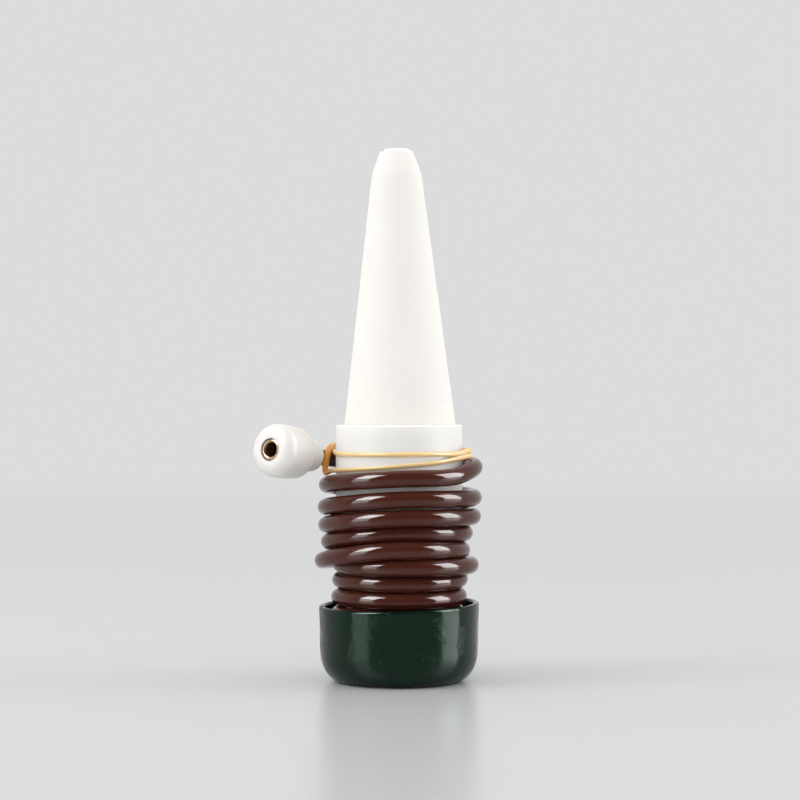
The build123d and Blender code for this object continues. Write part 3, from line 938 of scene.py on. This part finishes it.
def make_ceramic():
    """Chalky white with grit, and pores and placed pits darkened by painted shade."""
    material, tree, shader = new_material("porous_ceramic", IOR=1.4, Specular_IOR_Level=0.25)
    coords = object_coords(tree)
    patches = effect(tree, "mottle", Scale=45, Contrast=1.3)
    grit = effect(tree, "mottle", Scale=900, Contrast=1.4)
    pores = effect(tree, "specks", Scale=620, Size=0.16, Amount=0.035)
    body = blend_colours(tree, patches, (0.870, 0.847, 0.808), (0.900, 0.880, 0.845))
    gritty = blend_colours(tree, maths(tree, "MULTIPLY", grit, 0.10), body, (0.76, 0.73, 0.68))
    hollow_and_shade = maths(tree, "MULTIPLY", pores, 0.5)
    for centre in pits:
        gap = tree.nodes.new("ShaderNodeVectorMath")
        gap.operation = "DISTANCE"
        tree.links.new(coords, gap.inputs[0])
        gap.inputs[1].default_value = centre
        pit = remap(tree, gap.outputs["Value"], PIT_RADIUS, 0.3 * PIT_RADIUS)
        hollow_and_shade = maths(tree, "MAXIMUM", hollow_and_shade, pit)
    # Pores and pits are painted darker here: painted shade in the hollows. The same mask also gives
    # them their bump depth.
    tree.links.new(
        blend_colours(tree, maths(tree, "MULTIPLY", hollow_and_shade, 0.45), gritty, (0.30, 0.24, 0.18)),
        shader.inputs["Base Color"],
    )
    tree.links.new(remap(tree, grit, 0.0, 1.0, 0.78, 0.95), shader.inputs["Roughness"])
    grain_height = effect(tree, "grain", Scale=2600, Swell=0.8)
    add_bump(tree, shader, maths(tree, "SUBTRACT", grain_height, hollow_and_shade), 0.05 * MM)
    return material


porous_ceramic = make_ceramic()
print("made", porous_ceramic.name, "with", len(pits), "placed pits")


# %% [markdown]
# Weight: white plastic with a satin, faintly wavy skin and grey handling marks. Its brass tube is
# tarnished: much of it is dull brown, and clean metal shines through in places. One mottle
# drives the colour of the brass, how metallic it is and its roughness, so that a dull patch is
# dull in all three.

# %% White plastic of the weight
def make_weight_white():
    """Satin white plastic with grey marks."""
    material, tree, shader = new_material("weight_plastic", IOR=1.5)
    patches = effect(tree, "mottle", Scale=160, Contrast=1.6)
    grime = effect(tree, "specks", Scale=800, Size=0.20, Amount=0.06)
    body = blend_colours(tree, patches, (0.78, 0.755, 0.727), (0.845, 0.828, 0.81))
    tree.links.new(
        blend_colours(tree, maths(tree, "MULTIPLY", grime, 0.3), body, (0.35, 0.30, 0.27)),
        shader.inputs["Base Color"],
    )
    satin = effect(tree, "mottle", Scale=500, Contrast=1.5)
    tree.links.new(remap(tree, satin, 0.2, 0.8, 0.42, 0.58), shader.inputs["Roughness"])
    shader.inputs["Subsurface Weight"].default_value = 0.25
    shader.inputs["Subsurface Radius"].default_value = (1.0, 0.85, 0.75)
    shader.inputs["Subsurface Scale"].default_value = 1.0 * MM
    add_bump(tree, shader, effect(tree, "grain", Scale=520, Swell=2.5), 0.05 * MM)
    return material


weight_white = make_weight_white()
print("made", weight_white.name)


# %% Tarnished brass
def make_brass():
    """Brass that is clean in places and tarnished in others."""
    material, tree, shader = new_material("tube_brass")
    tarnish = effect(tree, "mottle", Scale=320, Contrast=2.2)
    metal = blend_colours(tree, tarnish, (0.42, 0.30, 0.18), (0.20, 0.125, 0.075))
    tree.links.new(metal, shader.inputs["Base Color"])
    tree.links.new(remap(tree, tarnish, 0.2, 0.9, 1.0, 0.45), shader.inputs["Metallic"])
    tree.links.new(remap(tree, tarnish, 0.1, 0.9, 0.18, 0.36), shader.inputs["Roughness"])
    add_bump(tree, shader, effect(tree, "grain", Scale=1500, Swell=1.5), 0.015 * MM)
    return material


tarnished_brass = make_brass()
print("made", tarnished_brass.name)


# %% [markdown]
# Rubber: the band is clear amber latex, lighter where it is stretched thin, and the two seals
# are dull black rubber with a bloom of grey. The band is one mesh, so its slack left end is told
# apart by its place along X.

# %% Latex and seal rubber
STRETCHED_X = -15.2 * MM
SLACK_X = -16.6 * MM


def make_latex():
    """Amber latex, deeper in colour where it is slack on the left."""
    material, tree, shader = new_material("band_latex", IOR=1.5)
    tone = effect(tree, "mottle", Scale=260, Contrast=1.5)
    across = tree.nodes.new("ShaderNodeSeparateXYZ")
    tree.links.new(object_coords(tree), across.inputs[0])
    left = remap(tree, across.outputs[0], STRETCHED_X, SLACK_X)
    stretched = blend_colours(tree, tone, (0.84, 0.58, 0.26), (0.90, 0.68, 0.36))
    slack = blend_colours(tree, tone, (0.66, 0.29, 0.028), (0.78, 0.38, 0.05))
    tree.links.new(blend_colours(tree, left, stretched, slack), shader.inputs["Base Color"])
    dull = effect(tree, "mottle", Scale=700, Contrast=1.5)
    tree.links.new(remap(tree, dull, 0.2, 0.8, 0.28, 0.45), shader.inputs["Roughness"])
    shader.inputs["Subsurface Weight"].default_value = 0.7
    shader.inputs["Subsurface Radius"].default_value = (1.0, 0.55, 0.20)
    shader.inputs["Subsurface Scale"].default_value = 0.8 * MM
    add_bump(tree, shader, effect(tree, "grain", Scale=1600, Swell=1.0), 0.02 * MM)
    return material


def make_seal_rubber():
    """Dull black rubber with a grey bloom."""
    material, tree, shader = new_material("seal_rubber", IOR=1.5)
    bloom = effect(tree, "mottle", Scale=400, Contrast=1.4)
    tree.links.new(
        blend_colours(tree, bloom, (0.018, 0.018, 0.019), (0.045, 0.044, 0.042)),
        shader.inputs["Base Color"],
    )
    tree.links.new(remap(tree, bloom, 0.0, 1.0, 0.45, 0.65), shader.inputs["Roughness"])
    add_bump(tree, shader, effect(tree, "grain", Scale=1800, Swell=0.6), 0.02 * MM)
    return material


band_latex = make_latex()
seal_rubber = make_seal_rubber()
print("made", band_latex.name, "and", seal_rubber.name)


# %% [markdown]
# Each finish now goes on its piece. Pieces from the CAD frame already have slots, so only the
# material in them is changed. The pieces made here get theirs as their one material.

# %% Materials on their pieces
finishes = {
    "cap_shell": cap_green,
    "screw_insert": insert_plastic,
    "collar": collar_plastic,
    "neck_o_ring": seal_rubber,
    "cone_seal": seal_rubber,
    "weight_shell": weight_white,
}
for node_name, material in finishes.items():
    for material_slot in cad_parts[node_name].material_slots:
        material_slot.material = material
own_finishes = [
    (hose, hose_brown),
    (rubber_band, band_latex),
    (brass_tube, tarnished_brass),
    (cone, porous_ceramic),
]
for piece, material in own_finishes:
    piece.data.materials.clear()
    piece.data.materials.append(material)
print("finished", len(finishes) + len(own_finishes), "pieces")


# %% [markdown]
# The floor is a wide pale disc with a faint gloss, so the cap mirrors softly in it, as on a
# studio table. Far from the object it turns, for the camera alone, into the plain background
# colour, so that no horizon shows.

# %% Floor
FLOOR_RADIUS = 40.0
FADE_START = 0.28
FADE_END = 1.3
BACKGROUND = (0.715, 0.718, 0.722, 1)

deselect()
bpy.ops.mesh.primitive_circle_add(vertices=128, radius=FLOOR_RADIUS, fill_type="NGON")
floor = bpy.context.object
floor.name = "studio_floor"
material, tree, shader = new_material(
    "studio_floor", IOR=1.5, Roughness=0.27, Specular_IOR_Level=0.35
)
dull = effect(tree, "mottle", Scale=6, Contrast=0.6)
tree.links.new(
    blend_colours(tree, dull, (0.562, 0.575, 0.584), (0.576, 0.589, 0.598)),
    shader.inputs["Base Color"],
)
far = tree.nodes.new("ShaderNodeVectorMath")
far.operation = "LENGTH"
tree.links.new(object_coords(tree), far.inputs[0])
fading = remap(tree, far.outputs["Value"], FADE_START, FADE_END)
camera_only = maths(
    tree, "MULTIPLY", fading, tree.nodes.new("ShaderNodeLightPath").outputs["Is Camera Ray"]
)
plain = tree.nodes.new("ShaderNodeEmission")
plain.inputs["Color"].default_value = BACKGROUND
mixed = tree.nodes.new("ShaderNodeMixShader")
tree.links.new(camera_only, mixed.inputs[0])
tree.links.new(shader.outputs[0], mixed.inputs[1])
tree.links.new(plain.outputs[0], mixed.inputs[2])
tree.links.new(mixed.outputs[0], tree.nodes["Material Output"].inputs["Surface"])
floor.data.materials.append(material)
print("floor radius", FLOOR_RADIUS, "m")


# %% [markdown]
# The background is the world itself, a flat light grey for the camera. Soft light comes from the
# same world from all sides. In reflections the world is bright behind the object and dark on the
# camera's side, as in a studio with one lit wall, which keeps the front of the dark gloss deep.

# %% World
AMBIENT = 1.01
DARK_SIDE = 0.04
DARK_UNTIL = -0.35
BRIGHT_FROM = 0.15

world = bpy.data.worlds.new("studio_world")
bpy.context.scene.world = world
world.use_nodes = True
tree = world.node_tree
tree.nodes.clear()
output = tree.nodes.new("ShaderNodeOutputWorld")
path = tree.nodes.new("ShaderNodeLightPath")
soft = tree.nodes.new("ShaderNodeBackground")
soft.inputs["Color"].default_value = (1, 0.99, 0.975, 1)
soft.inputs["Strength"].default_value = AMBIENT
seen = tree.nodes.new("ShaderNodeBackground")
seen.inputs["Color"].default_value = BACKGROUND
mirrored = tree.nodes.new("ShaderNodeBackground")
mirrored.inputs["Color"].default_value = BACKGROUND
way = tree.nodes.new("ShaderNodeSeparateXYZ")
tree.links.new(tree.nodes.new("ShaderNodeTexCoord").outputs["Generated"], way.inputs[0])
behind = remap(tree, way.outputs[1], DARK_UNTIL, BRIGHT_FROM, DARK_SIDE, 1.0)
tree.links.new(behind, mirrored.inputs["Strength"])
reflected = maths(
    tree, "MAXIMUM", path.outputs["Is Glossy Ray"], path.outputs["Is Transmission Ray"]
)
for_mirrors = tree.nodes.new("ShaderNodeMixShader")
tree.links.new(reflected, for_mirrors.inputs[0])
tree.links.new(soft.outputs[0], for_mirrors.inputs[1])
tree.links.new(mirrored.outputs[0], for_mirrors.inputs[2])
for_camera = tree.nodes.new("ShaderNodeMixShader")
tree.links.new(path.outputs["Is Camera Ray"], for_camera.inputs[0])
tree.links.new(for_mirrors.outputs[0], for_camera.inputs[1])
tree.links.new(seen.outputs[0], for_camera.inputs[2])
tree.links.new(for_camera.outputs[0], output.inputs["Surface"])
print("world ready")


# %% [markdown]
# Two softboxes stand left front and right, and draw the upright highlights on the cap and the
# short ones on each turn of the hose. A dim strip under the left one carries its reflection down
# the cap's wall. These three only show in reflections. Two weaker lamps, further round to the
# sides, light the surfaces and show in no reflection. Area lamps suit this, because each can be
# kept out of reflections, or out of the light on surfaces.

# %% Softboxes
LAMP_DISTANCE = 1.2
AIM_HEIGHT = 60 * MM

# name, azimuth and elevation in degrees, width and height in metres, strength, role
softboxes = [
    ("left", 213, 42, 0.54, 0.80, 22.0, "sheen"),
    ("left_foot", 213, 8, 0.54, 0.60, 6.5, "sheen"),
    ("right", 350, 24, 0.65, 1.02, 16.5, "sheen"),
    ("left_side", 198, 38, 0.54, 0.80, 3.3, "fill"),
    ("right_side", 2, 24, 0.65, 1.02, 1.7, "fill"),
]
aim = Vector((0, 0, AIM_HEIGHT))
for name, azimuth, elevation, width, height, strength, role in softboxes:
    turn = radians(azimuth)
    lift = radians(elevation)
    towards = Vector((cos(turn) * cos(lift), sin(turn) * cos(lift), sin(lift)))
    deselect()
    bpy.ops.object.light_add(
        type="AREA",
        location=aim + towards * LAMP_DISTANCE,
        rotation=towards.to_track_quat("Z", "Y").to_euler(),
    )
    lamp = bpy.context.object
    lamp.name = f"softbox_{name}_{role}"
    lamp.data.shape = "RECTANGLE"
    lamp.data.size = width
    lamp.data.size_y = height
    lamp.data.energy = strength * pi * width * height
    lamp.visible_camera = False
    lamp.visible_glossy = role == "sheen"
    lamp.visible_transmission = role == "sheen"
    lamp.visible_diffuse = role == "fill"
print("softboxes:", ", ".join(box[0] for box in softboxes))


# %% Finish
bpy.context.scene.view_settings.view_transform = "Standard"
